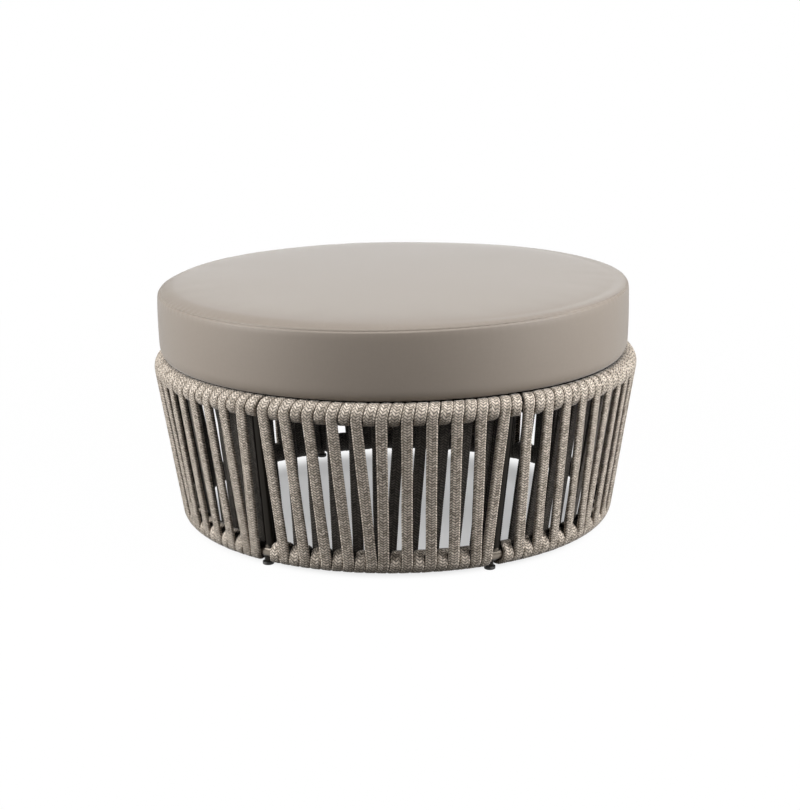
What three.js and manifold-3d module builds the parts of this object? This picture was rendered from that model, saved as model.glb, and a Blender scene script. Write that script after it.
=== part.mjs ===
// Round outdoor footstool: a tapered metal frame wound with flat rope in six panels,
// a slatted seat deck inside it, and a loose round cushion on top.
// Millimetres, +Z up, origin on the ground under the middle of the frame.
// Angles round the frame start at the front, -Y, and grow towards +X.
import * as THREE from 'three';
import { mergeVertices } from 'three/addons/utils/BufferGeometryUtils.js';
import Module from 'manifold-3d';

const wasm = await Module();
wasm.setup();

// Driving sizes of the frame
const topRingRadius = 382.5;
const topRingHeight = 265.2;
const bottomRingInset = 37.5;
const ringTubeRadius = 11;
const uprightRadius = 8;
const uprightWall = 1.5;
const panelCount = 6;
const firstPanelAngle = THREE.MathUtils.degToRad(-31.7);
const panelLeanAngle = THREE.MathUtils.degToRad(3);

// Driving sizes of the rope
const ropeWidth = 14.6;
const ropeThickness = 6.2;
const ropeRingClearance = 0.4;
const ropeTurnGap = 1.2;
const ropeUprightGap = 2;
const topPanelGap = 4;

// Driving sizes of the feet
const glideHeight = 5.4;
const glideRadius = 9;
const glideEdgeRound = 1;
const glideFloor = 2;
const glideRopeGap = 0.6;
const footStubRadius = 6;

// Driving sizes of the seat deck
const hoopInset = 32.5;
const hoopTubeRadius = 8;
const hangerThickness = 4;
const hangerRise = 8;
const hangerDrop = 4;
const slatWidth = 70;
const slatGap = 25;
const slatThickness = 3;
const slatLap = 4;
const railWidth = 30;
const railWall = 1.5;
const railCornerRadius = 3;

// Driving sizes of the cushion
const cushionOverhang = 6.2;
const cushionOffset = 3.5;
const sideHeight = 105;
const crownRise = 24;
const topTuck = 15;
const bottomTuck = 14;
const coverThickness = 3;
const seamGap = 0.3;
const foamGap = 0.5;

// Driving sizes of the zip
const zipArc = THREE.MathUtils.degToRad(80);
const zipWidth = 8;
const zipTapeThickness = 3;
const sliderWidth = 8;
const sliderHeight = 11;
const sliderPlate = 2;
const bridgeWidth = 2.4;
const bridgeHeight = 7;
const bridgeRise = 3;
const bridgeWall = 1.3;
const tabWidth = 6;
const tabLength = 20;
const tabThickness = 1.2;
const tabBar = 1.2;
const tabWindowWidth = 3.4;
const tabWindowLength = 3.6;

// The gap kept between pieces that touch
const clearance = 0.3;

// Counts of flat faces on the round pieces
const ringSteps = 90;
const ringSides = 8;
const hoopSteps = 72;
const hoopSides = 8;
const tubeSides = 12;
const footSides = 14;
const cushionSteps = 30;
const zipArcSteps = 16;
const plateArcSteps = 5;
const cornerSteps = 3;

// Sizes that follow
const bottomRingRadius = topRingRadius - bottomRingInset;
const hoopRadius = topRingRadius - hoopInset;
const cushionRadius = topRingRadius + cushionOverhang;
const panelAngle = 2 * Math.PI / panelCount;
const ropeBore = ringTubeRadius + ropeRingClearance;
const wrapRadius = ropeBore + ropeThickness;
const bottomRingHeight = glideHeight + glideRopeGap + wrapRadius;
const frameSlope = Math.atan2(topRingRadius - bottomRingRadius, topRingHeight - bottomRingHeight);
const bottomPanelGap = 2 * (uprightRadius + ropeUprightGap);
const cushionBottom = topRingHeight + wrapRadius + clearance;
const slatBottom = cushionBottom - clearance - slatThickness;
const hoopHeight = slatBottom - clearance - hoopTubeRadius;
const seamHeight = cushionBottom + sideHeight;
const zipHeight = cushionBottom + sideHeight / 2;

// How many rope turns lie side by side in a panel, on the inner side where room is least
const turnRoom = ropeWidth + ropeTurnGap;
const topArc = panelAngle * (topRingRadius - wrapRadius) - topPanelGap;
const bottomArc = panelAngle * (bottomRingRadius - wrapRadius) - bottomPanelGap;
const strandCount = Math.floor(topArc / (2 * turnRoom));
const topTurns = 2 * strandCount;
const bottomTurns = Math.min(Math.floor(bottomArc / turnRoom), topTurns);
const bottomWraps = Math.max(bottomTurns - strandCount, 0);
const topGapAngle = topPanelGap / topRingRadius;
const bottomGapAngle = bottomPanelGap / bottomRingRadius;
const topPitch = (panelAngle - topGapAngle) / topTurns;
const bottomPitch = (panelAngle - bottomGapAngle) / (strandCount + bottomWraps);

const finishes = {
  rope: { color: 0xa89d8e, roughness: 0.9, metalness: 0 },
  frame: { color: 0x9b8f80, roughness: 0.4, metalness: 0.6 },
  fabric: { color: 0xa39b90, roughness: 0.75, metalness: 0 },
  foam: { color: 0xe6dfc8, roughness: 0.95, metalness: 0 },
  glide: { color: 0x77736c, roughness: 0.5, metalness: 0 },
  zip: { color: 0x8b8378, roughness: 0.6, metalness: 0 },
  slider: { color: 0x8f8a83, roughness: 0.35, metalness: 0.8 },
};

// A named mesh with the finish of its own piece.
function piece(name, geometry, finish) {
  const mesh = new THREE.Mesh(geometry, new THREE.MeshStandardMaterial(finishes[finish]));
  mesh.name = name;
  return mesh;
}

// A point in the plane through the frame's axis: its distance from the axis, and its height.
function onFrame(radius, angle, height) {
  return new THREE.Vector3(radius * Math.sin(angle), -radius * Math.cos(angle), height);
}

// A solid of revolution about +Z from a profile of [radius, height] pairs.
function revolve(profile, steps) {
  const points = profile.map(([radius, height]) => new THREE.Vector2(radius, height));
  return new THREE.LatheGeometry(points, steps).rotateX(Math.PI / 2);
}

// A round bar bent into a full circle.
function roundHoop(radius, tubeRadius, height, sides, steps) {
  return new THREE.TorusGeometry(radius, tubeRadius, sides, steps).translate(0, 0, height);
}

// A flat outline given thickness, with the steps asked for on each arc. An arc gets two steps for
// each curve segment.
function plate(shape, thickness, arcSteps) {
  const curveSegments = arcSteps / 2;
  return new THREE.ExtrudeGeometry(shape, { depth: thickness, bevelEnabled: false, curveSegments });
}

// A three.js solid as a manifold, for cutting and joining, and back again.
function toManifold(geometry) {
  const bare = geometry.clone();
  for (const name of ['normal', 'uv']) bare.deleteAttribute(name);
  const merged = mergeVertices(bare, clearance / 100);
  const vertProperties = new Float32Array(merged.attributes.position.array);
  const triVerts = new Uint32Array(merged.index.array);
  return new wasm.Manifold(new wasm.Mesh({ numProp: 3, vertProperties, triVerts }));
}

function toGeometry(manifold) {
  const { vertProperties, triVerts } = manifold.getMesh();
  const geometry = new THREE.BufferGeometry();
  geometry.setAttribute('position', new THREE.BufferAttribute(new Float32Array(vertProperties), 3));
  geometry.setIndex(new THREE.BufferAttribute(new Uint32Array(triVerts), 1));
  return geometry;
}

// A round tube between two points, open through its middle where it has a wall.
function straightTube(from, to, radius, wall) {
  const shape = new THREE.Shape().absarc(0, 0, radius, 0, 2 * Math.PI, false);
  if (wall > 0) shape.holes.push(new THREE.Path().absarc(0, 0, radius - wall, 0, 2 * Math.PI, true));
  const along = to.clone().sub(from);
  const geometry = plate(shape, along.length(), tubeSides);
  const turn = new THREE.Quaternion().setFromUnitVectors(new THREE.Vector3(0, 0, 1), along.normalize());
  return geometry.applyQuaternion(turn).translate(from.x, from.y, from.z);
}

// The stretch of ring that a straight piece lands on, as a cutter whose flats clear the ring.
function ringCutter(radius, tubeRadius, angle, height) {
  const reach = 3 * tubeRadius;
  const cutRadius = (tubeRadius + clearance) / Math.cos(Math.PI / tubeSides);
  const middle = onFrame(radius, angle, height);
  const along = new THREE.Vector3(Math.cos(angle), Math.sin(angle), 0).multiplyScalar(reach);
  const from = middle.clone().sub(along);
  return straightTube(from, middle.add(along), cutRadius, 0);
}

// Rope

// One place on the rope's way round a ring: the flat rope turns there by twice halfTurn,
// and its inner and outer faces stay level with the ring on both sides of the corner.
function ropeCorner(ring, face, halfTurn, slot) {
  const turn = THREE.MathUtils.degToRad(face);
  const spread = Math.cos(THREE.MathUtils.degToRad(halfTurn));
  const inner = ropeBore / spread;
  const outer = wrapRadius / spread;
  return {
    angle: ring.firstSlotAngle + slot * ring.pitch,
    inner: [ring.radius + inner * Math.cos(turn), ring.height + inner * Math.sin(turn)],
    outer: [ring.radius + outer * Math.cos(turn), ring.height + outer * Math.sin(turn)],
  };
}

// How far the rope has moved along the ring, in slots, by the time that it faces this way.
function slotShift(ring, face) {
  const next = ring.shifts.findIndex(([stop]) => stop < face);
  if (next < 1) return next === 0 ? ring.shifts[0][1] : ring.shifts.at(-1)[1];
  const [[fromFace, fromShift], [toFace, toShift]] = ring.shifts.slice(next - 1, next + 1);
  return THREE.MathUtils.mapLinear(face, fromFace, toFace, fromShift, toShift);
}

// Corners of one pass round a ring, through faces given in degrees from straight outwards.
function ropePass(ring, faces, slot) {
  return faces.slice(1).map((face, i) => {
    const middle = (face + faces[i]) / 2;
    return ropeCorner(ring, middle, Math.abs(face - faces[i]) / 2, slot + slotShift(ring, middle));
  });
}

// The rope's straight runs lie along the cone of the frame, outside and inside.
const outside = -THREE.MathUtils.radToDeg(frameSlope);
const inside = 180 + outside;
const overTop = 90;
const underside = -90;

// Each ring with its rope slots. The shifts say where on its way round the ring, in degrees, the
// rope moves on to the next slot, so that turns and straight runs keep clear of each other.
const topRing = {
  radius: topRingRadius,
  height: topRingHeight,
  pitch: topPitch,
  firstSlotAngle: (topGapAngle + topPitch) / 2,
  shifts: [[130, 0.5], [outside, 0.03], [-50, 0.03], [-130, -0.5], [-230, -0.5], [outside - 360, -1]],
};
const bottomRing = {
  radius: bottomRingRadius,
  height: bottomRingHeight,
  pitch: bottomPitch,
  firstSlotAngle: (bottomGapAngle + bottomPitch) / 2 - panelLeanAngle,
  shifts: [[outside, 0], [-120, -0.5], [-230, -0.5], [-296, -1], [outside - 360, -1], [-480, -1.5]],
};

// The bottom ring gets a wrap before each strand, apart from the few that its shorter arc leaves out.
function wrapBefore(strand) {
  const share = bottomWraps / strandCount;
  return Math.ceil(strand * share) > Math.ceil((strand - 1) * share);
}

// The rope of one panel, from its right end: up inside, over the top ring, down outside, under the
// bottom ring, with a full wrap round the ring between one strand and the next to its left. It ends
// across the gap, over the head of the upright there.
function ropeRoute() {
  const startFace = -140;
  const startTurn = 10;
  const endFace = -25;
  const endTurn = 25;
  const topSlotAcross = -1 - topGapAngle / topPitch;
  let slot = strandCount + bottomWraps;
  const route = [ropeCorner(bottomRing, startFace, startTurn, slot + slotShift(bottomRing, startFace))];
  route.push(...ropePass(bottomRing, [startFace - startTurn, inside - 360], slot));
  route.push(...ropePass(topRing, [inside, overTop, 38, outside], topTurns - 2));
  slot -= 1;
  for (let strand = strandCount; strand > 0; strand -= 1) {
    const wrapNext = strand === 1 || wrapBefore(strand);
    const faces = wrapNext
      ? [outside, -49, underside, -175, -262, -322, -378, -450, inside - 720]
      : [outside, -49, underside, inside - 360];
    route.push(...ropePass(bottomRing, faces, slot));
    slot -= wrapNext ? 2 : 1;
    if (strand > 1) {
      const wholeTurn = [inside, overTop, 35, -20, -75, -170, -270, -322, outside - 360];
      route.push(...ropePass(topRing, wholeTurn, 2 * strand - 3));
    }
  }
  route.push(...ropePass(topRing, [inside, overTop, 35, endFace], topSlotAcross));
  route.push(ropeCorner(topRing, endFace - endTurn, endTurn, topSlotAcross));
  return route;
}

// The four corners of the flat rope at one place on its way.
function ropeSection(place) {
  const side = new THREE.Vector3(Math.cos(place.angle), Math.sin(place.angle), 0);
  side.multiplyScalar(ropeWidth / 2);
  const inner = onFrame(place.inner[0], place.angle, place.inner[1]);
  const outer = onFrame(place.outer[0], place.angle, place.outer[1]);
  return [
    inner.clone().sub(side),
    inner.clone().add(side),
    outer.clone().add(side),
    outer.clone().sub(side),
  ];
}

// One unbroken flat tube through the sections, closed at both ends.
function sweptRope(sections) {
  const positions = sections.flat().flatMap((point) => point.toArray());
  const faces = [0, 2, 1, 0, 3, 2];
  for (let i = 0; i + 1 < sections.length; i += 1) {
    for (let k = 0; k < 4; k += 1) {
      const a = 4 * i + k;
      const b = 4 * i + (k + 1) % 4;
      faces.push(a, b, b + 4, a, b + 4, a + 4);
    }
  }
  const end = 4 * (sections.length - 1);
  faces.push(end, end + 1, end + 2, end, end + 2, end + 3);
  const geometry = new THREE.BufferGeometry();
  geometry.setAttribute('position', new THREE.Float32BufferAttribute(positions, 3));
  geometry.setIndex(faces);
  return geometry;
}

// The least gap of the rope to itself, from points along its edges to the edges of other turns.
function leastGap(sections) {
  const pointsPerEdge = 6;
  const nearby = 2;
  const edges = [];
  for (let i = 0; i + 1 < sections.length; i += 1) {
    for (let k = 0; k < 4; k += 1) {
      edges.push({ step: i, line: new THREE.Line3(sections[i][k], sections[i + 1][k]) });
    }
  }
  const point = new THREE.Vector3();
  const closest = new THREE.Vector3();
  let least = Infinity;
  for (const edge of edges) {
    for (let n = 0; n <= pointsPerEdge; n += 1) {
      edge.line.at(n / pointsPerEdge, point);
      for (const other of edges) {
        if (Math.abs(other.step - edge.step) <= nearby) continue;
        other.line.closestPointToPoint(point, true, closest);
        least = Math.min(least, point.distanceTo(closest));
      }
    }
  }
  return least;
}

function ropePanels() {
  const sections = ropeRoute().map(ropeSection);
  const geometry = sweptRope(sections);
  console.log(`rope: ${strandCount} strands a panel, least gap to itself ${leastGap(sections).toFixed(2)} mm`);
  return Array.from({ length: panelCount }, (unused, i) => {
    const panel = piece(`rope_panel_${i + 1}`, geometry, 'rope');
    panel.rotation.z = firstPanelAngle + i * panelAngle;
    return panel;
  });
}

// Metal frame

function frameRings() {
  const top = roundHoop(topRingRadius, ringTubeRadius, topRingHeight, ringSides, ringSteps);
  const bottom = roundHoop(bottomRingRadius, ringTubeRadius, bottomRingHeight, ringSides, ringSteps);
  return [piece('top_ring', top, 'frame'), piece('bottom_ring', bottom, 'frame')];
}

// An upright stands on the bare stretch of the bottom ring and ends under the rope that crosses
// the gap at the top ring, with both ends shaped to the rings.
function uprightTube() {
  const topAngle = -(topGapAngle + topPitch) / 2;
  const bottom = onFrame(bottomRingRadius, -panelLeanAngle, bottomRingHeight);
  const top = onFrame(topRingRadius, topAngle, topRingHeight);
  const tube = straightTube(bottom, top, uprightRadius, uprightWall);
  const cutTop = ringCutter(topRingRadius, ringTubeRadius, topAngle, topRingHeight);
  const cutBottom = ringCutter(bottomRingRadius, ringTubeRadius, -panelLeanAngle, bottomRingHeight);
  return toGeometry(toManifold(tube).subtract(toManifold(cutTop)).subtract(toManifold(cutBottom)));
}

// A foot stub is welded under the bottom ring, midway between the turns of rope on its underside,
// and a plastic glide is pushed over its end.
const footAngle = slotShift(bottomRing, underside) * bottomPitch - panelLeanAngle;

function footStub() {
  const bottom = onFrame(bottomRingRadius, footAngle, glideFloor + clearance);
  const top = onFrame(bottomRingRadius, footAngle, bottomRingHeight);
  const stub = straightTube(bottom, top, footStubRadius, 0);
  const cut = ringCutter(bottomRingRadius, ringTubeRadius, footAngle, bottomRingHeight);
  return toGeometry(toManifold(stub).subtract(toManifold(cut)));
}

function footGlide() {
  const bore = footStubRadius + clearance;
  const profile = [
    [0, 0],
    [glideRadius - glideEdgeRound, 0],
    [glideRadius, glideEdgeRound],
    [glideRadius, glideHeight - glideEdgeRound],
    [glideRadius - glideEdgeRound, glideHeight],
    [bore, glideHeight],
    [bore, glideFloor],
    [0, glideFloor],
  ];
  const middle = onFrame(bottomRingRadius, footAngle, 0);
  return revolve(profile, footSides).translate(middle.x, middle.y, middle.z);
}

// A hanger plate joins the top ring to the seat hoop at each join between rope panels, clear of
// the runs of rope that reach the ring from inside.
function hangerPlate() {
  const shape = new THREE.Shape();
  const ringNotch = ringTubeRadius + clearance;
  const ringRise = Math.asin(hangerRise / ringNotch);
  const ringDrop = Math.asin(hangerDrop / ringNotch);
  shape.absarc(topRingRadius, topRingHeight, ringNotch, Math.PI - ringRise, Math.PI + ringDrop, false);
  const hoopNotch = hoopTubeRadius + clearance;
  const hoopRise = Math.asin(hangerDrop / hoopNotch);
  shape.absarc(hoopRadius, hoopHeight, hoopNotch, -2 * hoopRise, hoopRise, false);
  const outwards = onFrame(1, slotShift(topRing, (inside + overTop) / 2) * topPitch, 0);
  const up = new THREE.Vector3(0, 0, 1);
  const turn = new THREE.Matrix4().makeBasis(outwards, up, outwards.clone().cross(up));
  return plate(shape, hangerThickness, plateArcSteps).translate(0, 0, -hangerThickness / 2).applyMatrix4(turn);
}

function seatHoop() {
  return piece('seat_hoop', roundHoop(hoopRadius, hoopTubeRadius, hoopHeight, hoopSides, hoopSteps), 'frame');
}

// The same piece at each join between rope panels.
function atEachJoin(name, geometry, finish) {
  return Array.from({ length: panelCount }, (unused, i) => {
    const mesh = piece(`${name}_${i + 1}`, geometry, finish);
    mesh.rotation.z = firstPanelAngle + i * panelAngle;
    return mesh;
  });
}

// Seat deck

// A flat slat whose ends follow the hoop that carries it.
function seatSlat(middle) {
  const reach = hoopRadius + slatLap;
  const low = Math.asin((middle - slatWidth / 2) / reach);
  const high = Math.asin((middle + slatWidth / 2) / reach);
  const shape = new THREE.Shape();
  shape.absarc(0, 0, reach, low, high, false);
  shape.absarc(0, 0, reach, Math.PI - high, Math.PI - low, false);
  return plate(shape, slatThickness, plateArcSteps).translate(0, 0, slatBottom);
}

function seatSlats() {
  const step = slatWidth + slatGap;
  const count = Math.floor((2 * hoopRadius) / step);
  return Array.from({ length: count }, (unused, i) => {
    const middle = (i - (count - 1) / 2) * step;
    return piece(`seat_slat_${i + 1}`, seatSlat(middle), 'frame');
  });
}

function roundedRectangle(path, width, height, radius) {
  const x = width / 2 - radius;
  const y = height / 2 - radius;
  path.absarc(x, y, radius, 0, Math.PI / 2, false);
  path.absarc(-x, y, radius, Math.PI / 2, Math.PI, false);
  path.absarc(-x, -y, radius, Math.PI, 1.5 * Math.PI, false);
  path.absarc(x, -y, radius, 1.5 * Math.PI, 2 * Math.PI, false);
  return path;
}

// The box tube under the slats spans the hoop from front to back.
function seatRail() {
  const height = 2 * hoopTubeRadius;
  const hoopInner = (hoopRadius - hoopTubeRadius) * Math.cos(Math.PI / hoopSteps);
  const reach = Math.sqrt(hoopInner ** 2 - (railWidth / 2) ** 2) - clearance;
  const shape = roundedRectangle(new THREE.Shape(), railWidth, height, railCornerRadius);
  const bore = new THREE.Path();
  roundedRectangle(bore, railWidth - 2 * railWall, height - 2 * railWall, railCornerRadius - railWall);
  shape.holes.push(bore);
  const tube = plate(shape, 2 * reach, cornerSteps).translate(0, 0, -reach).rotateX(Math.PI / 2);
  return piece('seat_rail', tube.translate(0, 0, hoopHeight), 'frame');
}

// Cushion

// The side of the cushion swells between its two seams: share 0 is the bottom seam, 1 the top one.
function sideRadius(share) {
  const tuck = bottomTuck + (topTuck - bottomTuck) * share;
  const swell = (1 - Math.abs(2 * share - 1) ** 4) ** 0.25;
  return cushionRadius - tuck * (1 - swell);
}

// The crown rises fast at the shoulder and is nearly level in the middle.
function crownHeight(radiusShare) {
  return seamHeight + crownRise * (1 - radiusShare ** 6) ** 0.6;
}

const crownShares = [0, 0.6, 0.86, 0.96];
const crownLiningShares = [0, 0.86];
const sideShares = [0.04, 0.25, 0.75, 0.96];
const sideLiningShares = [0.15, 0.85];

// The crown and the side as points on a skin that lies this deep inside the cover's outer face.
function crownProfile(depth, shares) {
  return shares.map((share) => [share * (sideRadius(1) - depth), crownHeight(share) - depth]);
}

function sideProfile(depth, shares) {
  return shares.map((share) => [sideRadius(share) - depth, cushionBottom + share * sideHeight]);
}

function coverTop() {
  const rim = sideRadius(1);
  const edge = seamHeight + seamGap / 2;
  const profile = [
    ...crownProfile(coverThickness, crownLiningShares),
    [rim - coverThickness, edge],
    [rim, edge],
    ...crownProfile(0, crownShares).reverse(),
  ];
  return piece('cushion_top_panel', revolve(profile, cushionSteps), 'fabric');
}

function coverBottom() {
  const rim = sideRadius(0) - seamGap;
  const profile = [
    [0, cushionBottom],
    [rim, cushionBottom],
    [rim, cushionBottom + coverThickness],
    [0, cushionBottom + coverThickness],
  ];
  return piece('cushion_bottom_panel', revolve(profile, cushionSteps), 'fabric');
}

// A flat arc of the cushion's side at the back, as high as asked.
function backArc(outerRadius, innerRadius, arc, height) {
  const middle = Math.PI / 2;
  const shape = new THREE.Shape();
  shape.absarc(0, 0, outerRadius, middle - arc / 2, middle + arc / 2, false);
  shape.absarc(0, 0, innerRadius, middle + arc / 2, middle - arc / 2, true);
  return plate(shape, height, zipArcSteps).translate(0, 0, zipHeight - height / 2);
}

function coverBand() {
  const edge = seamHeight - seamGap / 2;
  const profile = [
    [sideRadius(0), cushionBottom],
    ...sideProfile(0, sideShares),
    [sideRadius(1), edge],
    [sideRadius(1) - coverThickness, edge],
    ...sideProfile(coverThickness, sideLiningShares).reverse(),
    [sideRadius(0), cushionBottom + coverThickness],
    [sideRadius(0), cushionBottom],
  ];
  const band = toManifold(revolve(profile, cushionSteps));
  const slotArc = zipArc + 2 * clearance / cushionRadius;
  const slotDepth = 2 * coverThickness;
  const slot = backArc(cushionRadius + slotDepth, cushionRadius - slotDepth, slotArc, zipWidth + 2 * clearance);
  return piece('cushion_side_band', toGeometry(band.subtract(toManifold(slot))), 'fabric');
}

function foamCore() {
  const inset = coverThickness + foamGap;
  const bottom = cushionBottom + inset;
  const profile = [
    [0, bottom],
    [sideRadius(0) - inset, bottom],
    ...sideProfile(inset, sideLiningShares),
    ...crownProfile(inset, crownLiningShares).reverse(),
  ];
  return piece('foam_core', revolve(profile, cushionSteps), 'foam');
}

// Zip

// The tape fills the slot in the side band, just clear of the foam behind it.
function zipTape() {
  const inner = cushionRadius - coverThickness - foamGap + clearance;
  return piece('zip_tape', backArc(inner + zipTapeThickness, inner, zipArc, zipWidth), 'zip');
}

// A plate on the tape with a small bridge that the pull tab hangs from.
function zipSlider() {
  const base = new THREE.BoxGeometry(sliderWidth, sliderPlate, sliderHeight, 1, 1, 1);
  base.translate(0, sliderPlate / 2, 0);
  const outline = roundedRectangle(new THREE.Shape(), bridgeHeight, 2 * bridgeRise, bridgeWall);
  const eye = new THREE.Path();
  roundedRectangle(eye, bridgeHeight - 2 * bridgeWall, 2 * (bridgeRise - bridgeWall), bridgeWall / 2);
  outline.holes.push(eye);
  const bridge = plate(outline, bridgeWidth, cornerSteps).translate(0, 0, -bridgeWidth / 2);
  bridge.rotateY(Math.PI / 2).translate(0, sliderPlate, 0);
  const lower = new THREE.BoxGeometry(sliderWidth, bridgeRise, sliderHeight).translate(0, -bridgeRise / 2, 0);
  const joined = toManifold(base).add(toManifold(bridge).subtract(toManifold(lower)));
  return piece('zip_slider', toGeometry(joined), 'slider');
}

function zipTab() {
  const shape = new THREE.Shape();
  const half = tabWidth / 2;
  const top = tabBar / 2;
  shape.moveTo(half, top);
  shape.lineTo(-half, top);
  shape.absarc(0, top - tabLength + half, half, Math.PI, 2 * Math.PI, false);
  const window = new THREE.Path();
  window.moveTo(-tabWindowWidth / 2, -top);
  window.lineTo(-tabWindowWidth / 2, -top - tabWindowLength);
  window.lineTo(tabWindowWidth / 2, -top - tabWindowLength);
  window.lineTo(tabWindowWidth / 2, -top);
  shape.holes.push(window);
  const tab = plate(shape, tabThickness, 2 * cornerSteps).translate(0, 0, -tabThickness / 2);
  return piece('zip_pull_tab', tab.rotateX(Math.PI / 2), 'slider');
}

function cushion() {
  const group = new THREE.Group();
  const sliderGroup = new THREE.Group();
  const slider = zipSlider();
  const tab = zipTab();
  slider.position.set(0, cushionRadius + clearance, zipHeight);
  const barPlace = cushionRadius + clearance + sliderPlate + (bridgeRise - bridgeWall) / 2;
  tab.position.set(0, barPlace, zipHeight);
  sliderGroup.add(slider, tab);
  sliderGroup.rotation.z = zipArc / 2 - sliderWidth / cushionRadius;
  group.add(coverTop(), coverBand(), coverBottom(), foamCore(), zipTape(), sliderGroup);
  group.position.x = -cushionOffset;
  return group;
}

const footstool = new THREE.Group();
footstool.add(...frameRings(), ...ropePanels());
footstool.add(...atEachJoin('upright', uprightTube(), 'frame'));
footstool.add(...atEachJoin('foot_stub', footStub(), 'frame'));
footstool.add(...atEachJoin('foot_glide', footGlide(), 'glide'));
footstool.add(...atEachJoin('seat_hanger', hangerPlate(), 'frame'));
footstool.add(seatHoop(), seatRail(), ...seatSlats());
footstool.add(cushion());
export default footstool;
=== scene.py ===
"""Looks of the round outdoor footstool: braided rope round a painted tube frame, and a loose cushion.

Metres, +Z up, origin on the ground under the middle of the frame. Angles round the frame start at
the front, -Y, and grow towards +X.
"""
import math

import bmesh
import bpy
import numpy as np
from mathutils import Matrix, Vector


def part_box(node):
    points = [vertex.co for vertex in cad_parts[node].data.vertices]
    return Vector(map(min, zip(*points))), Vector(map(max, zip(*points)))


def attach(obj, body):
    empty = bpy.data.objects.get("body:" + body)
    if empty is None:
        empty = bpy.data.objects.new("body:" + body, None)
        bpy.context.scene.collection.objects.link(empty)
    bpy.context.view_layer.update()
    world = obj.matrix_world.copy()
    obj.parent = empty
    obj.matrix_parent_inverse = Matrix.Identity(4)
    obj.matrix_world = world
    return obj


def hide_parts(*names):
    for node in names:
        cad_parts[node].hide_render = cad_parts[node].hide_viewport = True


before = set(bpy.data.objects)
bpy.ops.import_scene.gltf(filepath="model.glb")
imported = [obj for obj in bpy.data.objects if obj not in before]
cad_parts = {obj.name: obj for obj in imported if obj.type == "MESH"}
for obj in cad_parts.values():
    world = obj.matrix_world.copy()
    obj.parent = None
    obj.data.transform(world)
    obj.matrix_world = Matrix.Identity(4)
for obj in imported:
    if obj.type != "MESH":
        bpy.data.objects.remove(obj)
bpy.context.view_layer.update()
bpy.ops.object.select_all(action="DESELECT")

MM = 0.001

# Sizes read from the frame
ring_low, ring_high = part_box("top_ring")
TUBE_RADIUS = (ring_high.z - ring_low.z) / 2
TOP_RING_RADIUS = ring_high.x - TUBE_RADIUS
TOP_RING_HEIGHT = (ring_high.z + ring_low.z) / 2
ring_low, ring_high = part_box("bottom_ring")
BOTTOM_RING_RADIUS = ring_high.x - TUBE_RADIUS
BOTTOM_RING_HEIGHT = (ring_high.z + ring_low.z) / 2
hoop_low, hoop_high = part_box("seat_hoop")
HOOP_TUBE_RADIUS = (hoop_high.z - hoop_low.z) / 2
HOOP_RADIUS = hoop_high.x - HOOP_TUBE_RADIUS
HOOP_HEIGHT = (hoop_high.z + hoop_low.z) / 2
CROWN_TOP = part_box("cushion_top_panel")[1].z
side_low, side_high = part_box("cushion_side_band")
CUSHION_BOTTOM = side_low.z
CUSHION_MIDDLE_X = -3.5 * MM
CUSHION_RADIUS = side_high.x - CUSHION_MIDDLE_X
SEAM_HEIGHT = side_high.z
TAPE_LOW, TAPE_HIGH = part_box("zip_tape")

# Rope sizes that the frame doesn't show
PANELS = 6
FIRST_PANEL = math.radians(-31.7)
PANEL_LEAN = math.radians(3)
ROPE_BORE = TUBE_RADIUS + 0.4 * MM
ROPE_LAYER = 6.2 * MM
ROPE_WIDTH = 16.8 * MM
ROPE_THICKNESS = 6.4 * MM
STRANDS = 11
TOP_TURNS = 2 * STRANDS
BOTTOM_WRAPS = 9
TOP_PANEL_GAP = 4 * MM
UPRIGHT_RADIUS = 8 * MM
BOTTOM_PANEL_GAP = 2 * (UPRIGHT_RADIUS + 2 * MM)
FRAME_SLOPE = math.atan2(TOP_RING_RADIUS - BOTTOM_RING_RADIUS, TOP_RING_HEIGHT - BOTTOM_RING_HEIGHT)
PANEL = 2 * math.pi / PANELS
TOP_GAP_ANGLE = TOP_PANEL_GAP / TOP_RING_RADIUS
BOTTOM_GAP_ANGLE = BOTTOM_PANEL_GAP / BOTTOM_RING_RADIUS
TOP_PITCH = (PANEL - TOP_GAP_ANGLE) / TOP_TURNS
BOTTOM_PITCH = (PANEL - BOTTOM_GAP_ANGLE) / (STRANDS + BOTTOM_WRAPS)

# Cushion sizes that the frame doesn't show
TOP_TUCK = 3.2 * MM
BOTTOM_TUCK = 12 * MM
SEAM_LIFT = 2.8 * MM
CROWN_SAG = 4.2 * MM
CROWN_EDGE = 9 * MM
COVER_SPREAD = 2.4 * MM
COVER_SHIFT = 1.2 * MM
COVER_TILT = 4 * MM


def point(radius, angle, height):
    """A point from its distance to the axis, its angle round the frame and its height."""
    return Vector((radius * math.sin(angle), -radius * math.cos(angle), height))


# Camera
PHOTO_HEIGHT = 810
FOCAL_PIXELS = 1778.4
CAMERA_DISTANCE = 3.0
CAMERA_SLOPE = math.radians(14.615)
CAMERA_ROLL = math.radians(-0.687)
LOOK_AT = Vector((0.00654, 0, 0.18012))
SENSOR = 36


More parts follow.
